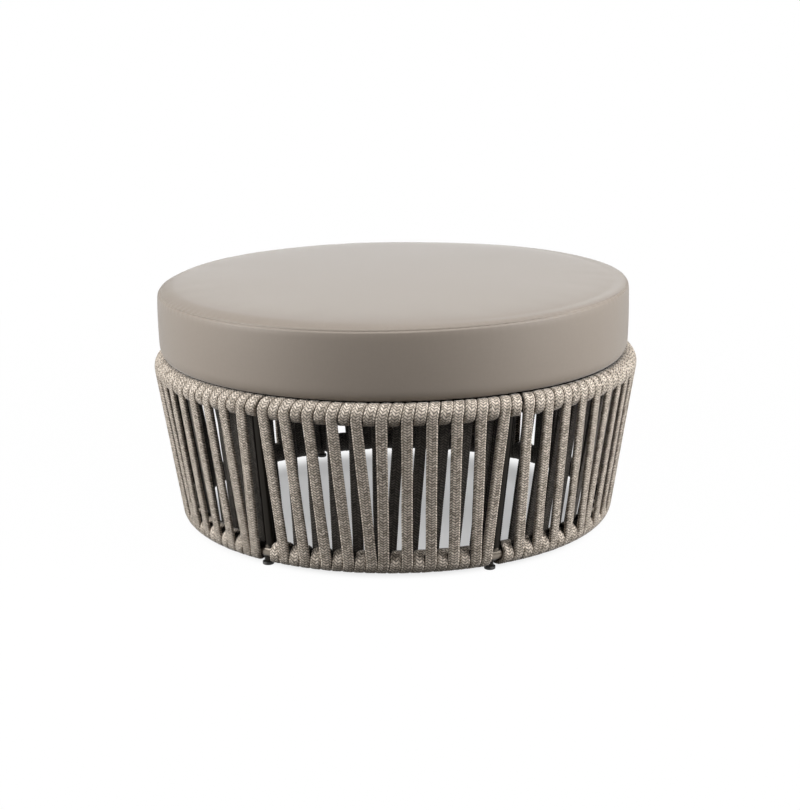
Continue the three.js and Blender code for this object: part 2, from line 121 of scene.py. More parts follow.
def set_camera():
    """The camera of the photograph, fitted to the rings and the seam."""
    forward = Vector((0, math.cos(CAMERA_SLOPE), -math.sin(CAMERA_SLOPE)))
    level = Vector((1, 0, 0))
    up = level.cross(forward)
    right = math.cos(CAMERA_ROLL) * level + math.sin(CAMERA_ROLL) * up
    up = math.cos(CAMERA_ROLL) * up - math.sin(CAMERA_ROLL) * level
    data = bpy.data.cameras.new("camera")
    data.sensor_width = SENSOR
    data.sensor_height = SENSOR
    data.lens = FOCAL_PIXELS * SENSOR / PHOTO_HEIGHT
    data.clip_end = 200
    camera = bpy.data.objects.new("camera", data)
    turn = Matrix((right, up, -forward)).transposed()
    camera.matrix_world = Matrix.Translation(LOOK_AT - CAMERA_DISTANCE * forward) @ turn.to_4x4()
    bpy.context.scene.collection.objects.link(camera)
    bpy.context.scene.camera = camera


set_camera()


# Shader helpers

def new_material(name):
    """A node material, its tree and its Principled shader."""
    material = bpy.data.materials.new(name)
    material.use_nodes = True
    return material, material.node_tree, material.node_tree.nodes["Principled BSDF"]


def set_inputs(tree, node, inputs):
    """Each named input of a node gets a value of its own or a link from an output."""
    for key, value in inputs.items():
        value = getattr(value, "output", value)
        if isinstance(value, bpy.types.NodeSocket):
            tree.links.new(value, node.inputs[key])
        else:
            node.inputs[key].default_value = value


def put(tree, kind, inputs=None, **settings):
    """A new node with its settings and its inputs."""
    node = tree.nodes.new(kind)
    for key, value in settings.items():
        setattr(node, key, value)
    set_inputs(tree, node, inputs or {})
    return node


def by_math(operation):
    """The method of a value that makes one kind of Math node."""
    return lambda self, *others: self.math(operation, *others)


class Value:
    """What a node puts out. Sums with it are written plainly and become Math nodes."""

    def __init__(self, tree, output):
        self.tree, self.output = tree, output

    def math(self, operation, *others):
        """The result of a Math node that starts from this value."""
        return value_of(self.tree, "ShaderNodeMath", dict(enumerate((self, *others))), operation=operation)

    def __rsub__(self, other):
        return value_of(self.tree, "ShaderNodeMath", {0: other, 1: self}, operation="SUBTRACT")

    __add__, __sub__, __mul__ = by_math("ADD"), by_math("SUBTRACT"), by_math("MULTIPLY")
    __truediv__, __mod__ = by_math("DIVIDE"), by_math("FLOORED_MODULO")
    __pow__, __abs__ = by_math("POWER"), by_math("ABSOLUTE")


def value_of(tree, kind, inputs=None, output=0, **settings):
    """What a new node puts out."""
    return Value(tree, put(tree, kind, inputs, **settings).outputs[output])


def split(tree, place):
    """The three parts of a place."""
    return [Value(tree, part) for part in put(tree, "ShaderNodeSeparateXYZ", {0: place}).outputs]


def joined(tree, *parts):
    """A place from its parts, nought where one is left out."""
    return value_of(tree, "ShaderNodeCombineXYZ", dict(enumerate(parts)))


def noise(tree, place, scale, detail=2.0):
    """Soft noise from 0 to 1."""
    return value_of(tree, "ShaderNodeTexNoise", {"Vector": place, "Scale": scale, "Detail": detail}, "Fac")


def chosen(tree, share, first, second):
    """One of two numbers, or a number between them."""
    return value_of(tree, "ShaderNodeMix", {0: share, 2: first, 3: second})


def mixed(tree, share, first, second, blend="MIX"):
    """Two colours mixed by a share."""
    return value_of(tree, "ShaderNodeMix", {0: share, 6: first, 7: second}, 2, data_type="RGBA", blend_type=blend)


def ranged(tree, *numbers, **settings):
    """A number carried from one range to another: the number, then the low and high end of each."""
    return value_of(tree, "ShaderNodeMapRange", dict(enumerate(numbers)), **settings)


def reach_of(tree, place):
    """How far a place is from the middle."""
    return value_of(tree, "ShaderNodeVectorMath", {0: place}, "Value", operation="LENGTH")


def shaded(tree, colour, shade):
    """A colour made lighter or darker by a shade."""
    level = value_of(tree, "ShaderNodeCombineColor", {0: shade, 1: shade, 2: shade})
    return mixed(tree, 1.0, colour, level, "MULTIPLY")


def raised(tree, height, distance, strength=1.0):
    """The normal of a surface that a height tilts, by up to a distance in metres."""
    inputs = {"Height": height, "Distance": distance, "Strength": strength}
    return value_of(tree, "ShaderNodeBump", inputs, "Normal")


def object_places(tree):
    """Places on the object, in metres."""
    return value_of(tree, "ShaderNodeTexCoord", output="Object")


def ramp(tree, value, stops):
    """A colour ramp through (place, colour) stops."""
    node = put(tree, "ShaderNodeValToRGB", {"Fac": value})
    while len(node.color_ramp.elements) < len(stops):
        node.color_ramp.elements.new(1)
    for element, (place, colour) in zip(node.color_ramp.elements, stops):
        element.position = place
        element.color = colour
    return node.outputs["Color"]


def new_group(name, numbers, outputs):
    """An empty node group that reads a place and named numbers, what it is given and where results go."""
    group = bpy.data.node_groups.new(name, "ShaderNodeTree")
    group.interface.new_socket(name="Vector", in_out="INPUT", socket_type="NodeSocketVector")
    for label, value in numbers.items():
        made = group.interface.new_socket(name=label, in_out="INPUT", socket_type="NodeSocketFloat")
        made.default_value = value
    for label in outputs:
        group.interface.new_socket(name=label, in_out="OUTPUT", socket_type="NodeSocketFloat")
    return group, group.nodes.new("NodeGroupInput").outputs, group.nodes.new("NodeGroupOutput")


def use_group(tree, group, inputs):
    """What a node group puts out, by name, when it is placed in a material with its own values."""
    node = put(tree, "ShaderNodeGroup", inputs, node_tree=group)
    return {output.name: Value(tree, output) for output in node.outputs}


def uneven_shade_group():
    """Soft uneven shade over a surface, as light dust and wear give it."""
    group, given, result = new_group("uneven_shade", {"Scale": 8.0, "Amount": 0.1}, ["Shade"])
    clouds = noise(group, given["Vector"], given["Scale"])
    set_inputs(group, result, {"Shade": (clouds - 0.5) * given["Amount"] + 1.0})
    return group


def painted_inner_shade_group():
    """Painted shade: darker inside the rope basket than on its outer face, by the distance from the slope of the
    frame.
    """
    group, given, result = new_group("painted_inner_shade", {"Inner": -0.01, "Outer": 0.004, "Lowest": 0.17}, ["Shade"])
    x, y, height = split(group, given["Vector"])
    away = reach_of(group, joined(group, x, y))
    slope = ranged(group, height, BOTTOM_RING_HEIGHT, TOP_RING_HEIGHT, BOTTOM_RING_RADIUS, TOP_RING_RADIUS)
    # Painted shade: the lowest level well inside, full colour on the outer face.
    shade = ranged(group, away - slope, given["Inner"], given["Outer"], given["Lowest"], 1.0)
    set_inputs(group, result, {"Shade": shade})
    return group


uneven_shade = uneven_shade_group()
painted_inner_shade = painted_inner_shade_group()


def worn(tree, place, scale, amount):
    """The uneven shade at a scale of its own."""
    return use_group(tree, uneven_shade, {"Vector": place, "Scale": scale, "Amount": amount})["Shade"]


# Rope

OUTSIDE = -math.degrees(FRAME_SLOPE)
INSIDE = 180 + OUTSIDE
TOP_RING = {
    "radius": TOP_RING_RADIUS,
    "height": TOP_RING_HEIGHT,
    "pitch": TOP_PITCH,
    "first": (TOP_GAP_ANGLE + TOP_PITCH) / 2,
    "shifts": [(130, 0.5), (OUTSIDE, 0.03), (-50, 0.03), (-130, -0.5), (-230, -0.5), (OUTSIDE - 360, -1)],
}
BOTTOM_RING = {
    "radius": BOTTOM_RING_RADIUS,
    "height": BOTTOM_RING_HEIGHT,
    "pitch": BOTTOM_PITCH,
    "first": (BOTTOM_GAP_ANGLE + BOTTOM_PITCH) / 2 - PANEL_LEAN,
    "shifts": [(OUTSIDE, 0), (-120, -0.5), (-230, -0.5), (-296, -1), (OUTSIDE - 360, -1), (-480, -1.5)],
}
START_FACE = -140
END_FACE = -52
FACE_STEP = 5
STITCHES_AROUND = 20
STITCH_LENGTH = 1.95 * MM
STITCH_RISE = 0.26 * MM
STITCH_DIP = 0.20 * MM
SECTION_POWER = 4.6
ROPE_TWIST = 0.05
ROPE_SWAY = 0.35 * MM
ROPE_SWELL = 0.03


def wrap_before(strand):
    """Whether the bottom ring gets a wrap before this strand."""
    share = BOTTOM_WRAPS / STRANDS
    return math.ceil(strand * share) > math.ceil((strand - 1) * share)


def rope_passes():
    """Every pass of one panel's rope round a ring, from its right end: the ring, the first and last
    face, and the slot. The last pass crosses to the panel on the left."""
    slot = STRANDS + BOTTOM_WRAPS
    passes = [(BOTTOM_RING, START_FACE, INSIDE - 360, slot), (TOP_RING, INSIDE, OUTSIDE, TOP_TURNS - 2)]
    slot -= 1
    for strand in range(STRANDS, 0, -1):
        wraps = strand == 1 or wrap_before(strand)
        passes.append((BOTTOM_RING, OUTSIDE, INSIDE - (720 if wraps else 360), slot))
        slot -= 2 if wraps else 1
        if strand > 1:
            passes.append((TOP_RING, INSIDE, OUTSIDE - 360, 2 * strand - 3))
    passes.append((TOP_RING, INSIDE, END_FACE, -1 - TOP_GAP_ANGLE / TOP_PITCH))
    return passes


def rope_line():
    """Points along the middle of one panel's rope, and which way its outer face looks at each."""
    middle = ROPE_BORE + ROPE_LAYER / 2
    places, faces_out = [], []
    for ring, first_face, last_face, slot in rope_passes():
        steps = max(2, round(abs(last_face - first_face) / FACE_STEP) + 1)
        faces = np.linspace(first_face, last_face, steps)
        stops, moves = zip(*reversed(ring["shifts"]))
        angles = ring["first"] + (slot + np.interp(faces, stops, moves)) * ring["pitch"]
        faces = np.radians(faces)
        outwards = np.stack([np.sin(angles), -np.cos(angles), np.zeros(steps)], axis=1)
        up = np.array([0.0, 0.0, 1.0])
        look = np.cos(faces)[:, None] * outwards + np.sin(faces)[:, None] * up
        places.append(ring["radius"] * outwards + ring["height"] * up + middle * look)
        faces_out.append(look)
    return np.concatenate(places), np.concatenate(faces_out)


def smoothed(rows, width):
    """A running mean over an odd count of rows, with the ends kept."""
    padded = np.concatenate([np.repeat(rows[:1], width // 2, 0), rows, np.repeat(rows[-1:], width // 2, 0)])
    total = np.cumsum(np.concatenate([np.zeros((1, rows.shape[1])), padded]), axis=0)
    return (total[width:] - total[:-width]) / width


def even_steps(places, faces_out, step):
    """The same line in steps of one length."""
    lengths = np.linalg.norm(np.diff(places, axis=0), axis=1)
    along = np.concatenate([[0], np.cumsum(lengths)])
    stops = np.linspace(0, along[-1], 2 * round(along[-1] / step / 2) + 1)
    places = np.stack([np.interp(stops, along, places[:, k]) for k in range(3)], axis=1)
    faces_out = np.stack([np.interp(stops, along, faces_out[:, k]) for k in range(3)], axis=1)
    return smoothed(places, 5), smoothed(faces_out, 5)


def rope_section():
    """The flat rounded section: places round its edge at even spacing, and its outward directions."""
    turn = np.linspace(0, 2 * math.pi, 721)
    across = np.sign(np.cos(turn)) * np.abs(np.cos(turn)) ** (2 / SECTION_POWER) * ROPE_WIDTH / 2
    through = np.sign(np.sin(turn)) * np.abs(np.sin(turn)) ** (2 / SECTION_POWER) * ROPE_THICKNESS / 2
    lengths = np.hypot(np.diff(across), np.diff(through))
    along = np.concatenate([[0], np.cumsum(lengths)])
    stops = np.arange(STITCHES_AROUND) * along[-1] / STITCHES_AROUND
    edge = np.stack([np.interp(stops, along, across), np.interp(stops, along, through)], axis=1)
    following = np.roll(edge, -1, axis=0) - np.roll(edge, 1, axis=0)
    out = np.stack([following[:, 1], -following[:, 0]], axis=1)
    return edge, out / np.linalg.norm(out, axis=1)[:, None]


def unit(rows):
    """Each row at length one."""
    return rows / np.linalg.norm(rows, axis=1)[:, None]


def soft_noise(count, wave, seed):
    """A smooth random line of values from about -1 to 1, with waves this many steps long."""
    random = np.random.default_rng(seed)
    steps = np.arange(count)
    line = np.zeros(count)
    for size in (0.6, 1.1, 1.6):
        line += np.sin(2 * math.pi * steps / (wave * size) + random.uniform(0, 2 * math.pi)) / 3
    return line


def mesh_from_arrays(name, places, triangles, uv_name=None, uv=None):
    """A mesh object from arrays of points and triangles, smooth shaded, with its pattern map."""
    mesh = bpy.data.meshes.new(name)
    mesh.vertices.add(len(places))
    mesh.vertices.foreach_set("co", places.astype(np.float32).ravel())
    mesh.loops.add(3 * len(triangles))
    mesh.loops.foreach_set("vertex_index", triangles.astype(np.int32).ravel())
    mesh.polygons.add(len(triangles))
    mesh.polygons.foreach_set("loop_start", np.arange(0, 3 * len(triangles), 3, dtype=np.int32))
    mesh.polygons.foreach_set("use_smooth", np.ones(len(triangles), dtype=bool))
    if uv is not None:
        mesh.uv_layers.new(name=uv_name).data.foreach_set("uv", uv.astype(np.float32).ravel())
    mesh.update(calc_edges=True)
    mesh.validate()
    piece = bpy.data.objects.new(name, mesh)
    bpy.context.scene.collection.objects.link(piece)
    return piece


def grid_corners(rows, columns):
    """The row, column and four corners of every face of a grid of points that closes round itself."""
    row, column = (part.ravel() for part in np.meshgrid(np.arange(rows - 1), np.arange(columns), indexing="ij"))
    a, b = row * columns + column, row * columns + (column + 1) % columns
    return row, column, a, b, b + columns, a + columns


def end_caps(rows, columns, first_tip, last_tip):
    """The triangles from both ends of such a grid to its tips."""
    here = np.arange(columns)
    ahead = (here + 1) % columns
    last = (rows - 1) * columns
    return (
        np.stack([ahead, here, np.full(columns, first_tip)], 1),
        np.stack([last + here, last + ahead, np.full(columns, last_tip)], 1),
    )


def braided_rope(name, seed, turn):
    """One panel's rope: a flat braid whose stitches stand up one by one, closed at both ends."""
    places, faces_out = even_steps(*rope_line(), STITCH_LENGTH)
    count = len(places)
    along = unit(np.gradient(places, axis=0))
    look = unit(faces_out - np.sum(faces_out * along, axis=1)[:, None] * along)
    twist = ROPE_TWIST * soft_noise(count, 90, seed)[:, None]
    side = np.cross(along, look)
    look, side = look * np.cos(twist) + side * np.sin(twist), side * np.cos(twist) - look * np.sin(twist)
    places = places + ROPE_SWAY * soft_noise(count, 140, seed + 50)[:, None] * side
    edge, out = rope_section()
    rows, columns = np.meshgrid(np.arange(count), np.arange(STITCHES_AROUND), indexing="ij")
    rise = np.where((rows + columns) % 2 == 1, STITCH_RISE, -STITCH_DIP)
    swell = 1 + ROPE_SWELL * soft_noise(count, 60, seed + 90)[:, None]
    across = edge[None, :, 0] * swell + rise * out[None, :, 0]
    through = edge[None, :, 1] + rise * out[None, :, 1]
    points = places[:, None] + across[..., None] * side[:, None] + through[..., None] * look[:, None]
    points = points.reshape(-1, 3)
    start_tip, end_tip = len(points), len(points) + 1
    tips = np.stack([places[0] - MM * along[0], places[-1] + MM * along[-1]])
    points = np.concatenate([points, tips])

    row, column, *corners = grid_corners(count, STITCHES_AROUND)
    level = ((row + column) % 2 == 0)[:, None]
    uv_a = np.stack([column, row], 1)
    corner_uv = [uv_a, uv_a + [1, 0], uv_a + [1, 1], uv_a + [0, 1]]

    def halves(four, choice):
        """Both triangles of each face, split along the diagonal that keeps the stitches up."""
        a, b, c, d = four
        return [
            np.where(choice, np.stack(one, 1), np.stack(other, 1))
            for one, other in (((a, b, c), (a, b, d)), ((a, c, d), (b, c, d)))
        ]

    k = np.arange(STITCHES_AROUND)
    cap_uv = np.stack([np.stack([k, k * 0], 1), np.stack([k + 1, k * 0], 1), np.stack([k, k * 0 + 1], 1)], 1)
    triangles = np.concatenate([*halves(corners, level), *end_caps(count, STITCHES_AROUND, start_tip, end_tip)])
    uv = np.concatenate([*halves(corner_uv, level[..., None]), cap_uv, cap_uv])
    turned = np.array(Matrix.Rotation(turn, 3, "Z"))
    return mesh_from_arrays(name, points @ turned.T, triangles, "braid", uv)


# Finishes

def weave_group():
    """A plain weave, one thread over and one under: its height, and its shade thread by thread, with painted
    shade where the threads dip.
    """
    group, given, result = new_group("plain_weave", {"Threads": 1100.0, "Slub": 0.08}, ["Height", "Shade"])
    x, y, _ = split(group, value_of(
        group, "ShaderNodeVectorMath", {0: given["Vector"], "Scale": given["Threads"]}, operation="SCALE",
    ))
    cells = [part.math("FLOOR") for part in (x, y)]
    across = [abs((part.math("FRACT") - 0.5) * 2.0) ** 2.0 for part in (x, y)]
    weft_over = (cells[0] + cells[1]) % 2.0
    heights = [1.0 - here * 0.8 - there * 0.35 for here, there in (across, reversed(across))]
    height = chosen(group, weft_over, *heights)
    slubs = [
        noise(group, joined(group, cell * 0.37, along * 0.03), 1.0, 1.0) for cell, along in zip(cells, (y, x))
    ]
    uneven = (chosen(group, weft_over, *slubs) - 0.5) * given["Slub"]
    # Painted shade: darker where the threads dip, with each thread's own uneven tone added.
    set_inputs(group, result, {"Height": height, "Shade": height * 0.12 + (uneven + 0.93)})
    return group


def grain_group():
    """The fine grain of a sprayed or moulded surface: small specks of shade, and their height."""
    group, given, result = new_group("fine_grain", {"Scale": 900.0, "Amount": 0.1}, ["Shade", "Height"])
    inputs = {"Vector": given["Vector"], "Scale": given["Scale"]}
    specks = value_of(group, "ShaderNodeTexVoronoi", inputs, "Color")
    level = value_of(group, "ShaderNodeSeparateColor", {0: specks})
    set_inputs(group, result, {
        "Shade": (level - 0.5) * given["Amount"] + 1.0,
        "Height": noise(group, given["Vector"], given["Scale"]),
    })
    return group


plain_weave = weave_group()
fine_grain = grain_group()

YARNS = [
    (0.0, (0.70, 0.615, 0.525, 1)), (0.4, (0.58, 0.505, 0.425, 1)),
    (0.7, (0.42, 0.36, 0.295, 1)), (0.95, (0.25, 0.21, 0.165, 1)),
]
RIB_COLUMNS = STITCHES_AROUND / 8
YARN_ROWS = 2.25
YARN_SLOPE = 0.65
YARN_DRIFT = 1.6
CARRIERS = 10.0
BY_CARRIER, BY_STITCH, BY_STRETCH = 0.3, 0.65, 0.2


def braid_material():
    """Flat braided rope: ribs along it, in which yarns of a few close shades slant one way or the other."""
    material, tree, shader = new_material("rope_braid")
    place = value_of(tree, "ShaderNodeUVMap", output="UV", uv_map="braid")
    around, ahead, _ = split(tree, place)
    ribs = around / RIB_COLUMNS
    rib = ribs.math("FLOOR")
    to_left = rib % 2.0
    climb = around * YARN_SLOPE
    drift = noise(tree, place, 0.11, 1.0) * YARN_DRIFT
    slant = chosen(tree, to_left, ahead + climb, ahead - climb) / YARN_ROWS + drift
    yarn = slant.math("FLOOR")
    across = slant.math("FRACT") - 0.5
    along = ribs.math("FRACT") - 0.5

    carrier = yarn % CARRIERS + chosen(tree, to_left, 0.5, 2.0 * CARRIERS)
    chance = value_of(tree, "ShaderNodeTexWhiteNoise", {"W": carrier}, "Value", noise_dimensions="1D")
    stitch = value_of(
        tree, "ShaderNodeTexWhiteNoise", {"Vector": joined(tree, yarn, rib)}, "Value", noise_dimensions="3D",
    )
    stretch = noise(tree, place, 0.02, 1.0)
    moved = chance * BY_CARRIER + stitch * BY_STITCH + (stretch - 0.5) * BY_STRETCH

    rounded = 1.0 - abs(across * 2.0) ** 2.0
    ends = 1.0 - abs(along * 2.0) ** 4.0
    height = rounded * (ends * 0.5 + 0.5)
    fibres = noise(tree, joined(tree, across * 9.0, along * 1.6, yarn + rib * 7.3), 1.0)
    # Painted shade: the rope's colour is darker in the grooves between the yarns and where the fibres lie lower,
    # and far darker inside the basket than on its outer face.
    inner_painted_shade = use_group(tree, painted_inner_shade, {"Vector": object_places(tree)})["Shade"]
    shade = (height ** 1.3 * 1.2 + 0.10 + (fibres - 0.5) * 0.3) * inner_painted_shade
    set_inputs(tree, shader, {
        "Base Color": shaded(tree, ramp(tree, moved, YARNS), shade),
        "Roughness": fibres * 0.16 + 0.72,
        "Normal": raised(tree, height + fibres * 0.35, 0.3 * MM, 0.7),
        "Sheen Weight": 0.25,
        "Sheen Roughness": 0.35,
    })
    return material


def cloth_material(name, colour, uv_name, threads, slub, sheen, depth):
    """Closely woven cloth on a piece's own pattern map, or on its places where it has none."""
    material, tree, shader = new_material(name)
    place = object_places(tree)
    pattern = value_of(tree, "ShaderNodeUVMap", output="UV", uv_map=uv_name) if uv_name else place
    weave = use_group(tree, plain_weave, {"Vector": pattern, "Threads": threads, "Slub": slub})
    # The weave's shade holds painted shade where its threads dip.
    shade = weave["Shade"] * worn(tree, place, 7.0, 0.06) * worn(tree, place, 160.0, 0.05)
    set_inputs(tree, shader, {
        "Base Color": shaded(tree, colour, shade),
        "Roughness": 0.60 - weave["Height"] * 0.10,
        "Normal": raised(tree, weave["Height"], depth, 0.6),
        "Sheen Weight": sheen,
        "Sheen Roughness": 0.35,
    })
    return material


def paint_material(name, colour, metallic, roughness, flake):
    """Sprayed satin paint, or moulded plastic, with a fine grain, and painted shade where a piece lies inward of
    the frame's outer face.
    """
    material, tree, shader = new_material(name)
    place = object_places(tree)
    grain = use_group(tree, fine_grain, {"Vector": place, "Scale": 1400.0, "Amount": flake})
    uneven = worn(tree, place, 9.0, 0.10)
    # Painted shade: nearly black inward of the frame's outer face, so that the uprights, the seat parts and the
    # tops of the rings look shaded.
    inner_painted_shade = use_group(
        tree, painted_inner_shade, {"Vector": place, "Inner": 8 * MM, "Outer": 11.5 * MM, "Lowest": 0.07},
    )["Shade"]
    set_inputs(tree, shader, {
        "Base Color": shaded(tree, colour, grain["Shade"] * uneven * inner_painted_shade),
        "Roughness": (uneven - 1.0) * 1.4 + roughness,
        "Normal": raised(tree, grain["Height"], 0.04 * MM, 0.5),
        "Metallic": metallic,
    })
    return material


def foam_material():
    """Open-cell foam, pitted all over, with painted shade in its pits."""
    material, tree, shader = new_material("foam")
    place = object_places(tree)
    cells = value_of(tree, "ShaderNodeTexVoronoi", {"Vector": place, "Scale": 700.0}, "Distance")
    # Painted shade: darker in the pits of the cells, with a soft uneven tone.
    set_inputs(tree, shader, {
        "Base Color": shaded(tree, (0.78, 0.73, 0.60, 1), (cells * 0.35 + 0.8) * worn(tree, place, 12.0, 0.08)),
        "Roughness": 0.95,
        "Normal": raised(tree, cells, 0.5 * MM),
    })
    return material


rope_braid = braid_material()
cover_cloth = cloth_material("cover_cloth", (0.25, 0.212, 0.176, 1), "cloth", 1250.0, 0.08, 0.42, 0.05 * MM)
zip_cloth = cloth_material("zip_cloth", (0.20, 0.175, 0.15, 1), None, 1500.0, 0.12, 0.1, 0.1 * MM)
frame_paint = paint_material("frame_paint", (0.30, 0.26, 0.215, 1), 0.85, 0.30, 0.22)
tooth_plastic = paint_material("tooth_plastic", (0.36, 0.33, 0.295, 1), 0.0, 0.42, 0.05)
glide_plastic = paint_material("glide_plastic", (0.30, 0.29, 0.275, 1), 0.0, 0.55, 0.10)
slider_lacquer = paint_material("slider_lacquer", (0.42, 0.385, 0.345, 1), 0.8, 0.32, 0.08)
foam = foam_material()


def dress(piece, material, body, slot_name, *nodes):
    """A finished piece gets its material and its body, and the CAD nodes that it stands for are hidden. Its
    finish slot is not used.
    """
    piece.data.materials.clear()
    piece.data.materials.append(material)
    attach(piece, body)
    if nodes:
        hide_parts(*nodes)


for panel in range(PANELS):
    rope = braided_rope(f"rope_{panel + 1}", 7 * panel + 3, FIRST_PANEL + panel * PANEL)
    dress(rope, rope_braid, "frame", "rope", f"rope_panel_{panel + 1}")


# Modelling by hand

def start_piece(name):
    """The primitive just added gets its name, and edit mode opens on it."""
    piece = bpy.context.active_object
    piece.name = name
    piece.data.name = name
    bpy.ops.object.mode_set(mode="EDIT")
    return piece


def merge_doubles():
    """All of the piece is selected, and its doubled points are merged."""
    bpy.ops.mesh.select_all(action="SELECT")
    bpy.ops.mesh.remove_doubles(threshold=0.005 * MM)


def smooth_and_leave():
    """The piece's curved faces are smoothed, and nothing stays selected."""
    bpy.ops.object.shade_smooth_by_angle(angle=math.radians(40))
    bpy.ops.object.select_all(action="DESELECT")


def end_piece():
    """Edit mode closes, the piece's place goes into its mesh, and its curved faces are smoothed."""
    merge_doubles()
    bpy.ops.mesh.normals_make_consistent(inside=False)
    bpy.ops.object.mode_set(mode="OBJECT")
    bpy.ops.object.transform_apply(location=True, rotation=True, scale=True)
    smooth_and_leave()


def turned_piece(name, sides, steps, place=(0, 0, 0), direction=(0, 0, 1)):
    """A round piece drawn out along its axis: each step is a distance along the axis and a radius."""
    (first, radius), *others = steps
    bpy.ops.mesh.primitive_circle_add(vertices=sides, radius=radius, fill_type="NGON", location=(0, 0, first))
    piece = start_piece(name)
    bpy.ops.mesh.select_all(action="SELECT")
    here = first
    for height, wide in others:
        bpy.ops.mesh.extrude_region_move(TRANSFORM_OT_translate={"value": (0, 0, height - here)})
        bpy.ops.transform.resize(value=(wide / radius, wide / radius, 1), center_override=(0, 0, height))
        here, radius = height, wide
    bpy.ops.object.mode_set(mode="OBJECT")
    bpy.ops.object.transform_apply(location=True, rotation=True, scale=True)
    turn = Vector((0, 0, 1)).rotation_difference(Vector(direction))
    piece.matrix_world = Matrix.Translation(place) @ turn.to_matrix().to_4x4()
    bpy.ops.object.mode_set(mode="EDIT")
    end_piece()
    return piece


def bevelled_copy(node, name, width):
    """A copy of a CAD node with its edges broken."""
    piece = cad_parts[node].copy()
    piece.data = piece.data.copy()
    for key in list(piece.keys()):
        del piece[key]
    piece.parent = None
    bpy.context.scene.collection.objects.link(piece)
    piece.hide_set(False)
    bpy.context.view_layer.objects.active = piece
    piece.select_set(True)
    start_piece(name)
    merge_doubles()
    bpy.ops.mesh.dissolve_limited(angle_limit=math.radians(2))
    bpy.ops.object.mode_set(mode="OBJECT")
    bevel = piece.modifiers.new("broken edges", "BEVEL")
    bevel.width = width
    bevel.segments = 3
    bevel.limit_method = "ANGLE"
    bevel.angle_limit = math.radians(35)
    bevel.use_clamp_overlap = True
    bpy.ops.object.modifier_apply(modifier=bevel.name)
    smooth_and_leave()
    return piece


# Metal frame

def dress_metal(piece, node):
    """A finished piece of the painted frame."""
    dress(piece, frame_paint, "frame", "frame_metal", node)


def tube_ring(name, node, radius, tube_radius, height, weld_angle):
    """A tube bent into a ring, with the low bead of the weld that closes it."""
    bpy.ops.mesh.primitive_torus_add(
        major_segments=240, minor_segments=28, major_radius=radius, minor_radius=tube_radius,
        location=(0, 0, height),
    )
    ring = start_piece(name)
    bpy.ops.mesh.select_all(action="DESELECT")
    mesh = bmesh.from_edit_mesh(ring.data)
    weld = point(1, weld_angle, 0)
    for vertex in mesh.verts:
        flat = Vector((vertex.co.x, vertex.co.y, 0)).normalized()
        vertex.select = flat.dot(weld) > math.cos(math.radians(0.9))
    mesh.select_flush(True)
    bmesh.update_edit_mesh(ring.data)
    bpy.ops.transform.shrink_fatten(value=0.25 * MM)
    end_piece()
    dress_metal(ring, node)


tube_ring("ring_top", "top_ring", TOP_RING_RADIUS, TUBE_RADIUS, TOP_RING_HEIGHT, FIRST_PANEL + 0.06)
tube_ring(
    "ring_bottom", "bottom_ring", BOTTOM_RING_RADIUS, TUBE_RADIUS, BOTTOM_RING_HEIGHT, FIRST_PANEL + PANEL / 2,
)
tube_ring("seat_hoop_tube", "seat_hoop", HOOP_RADIUS, HOOP_TUBE_RADIUS, HOOP_HEIGHT, FIRST_PANEL + 2.2 * PANEL)

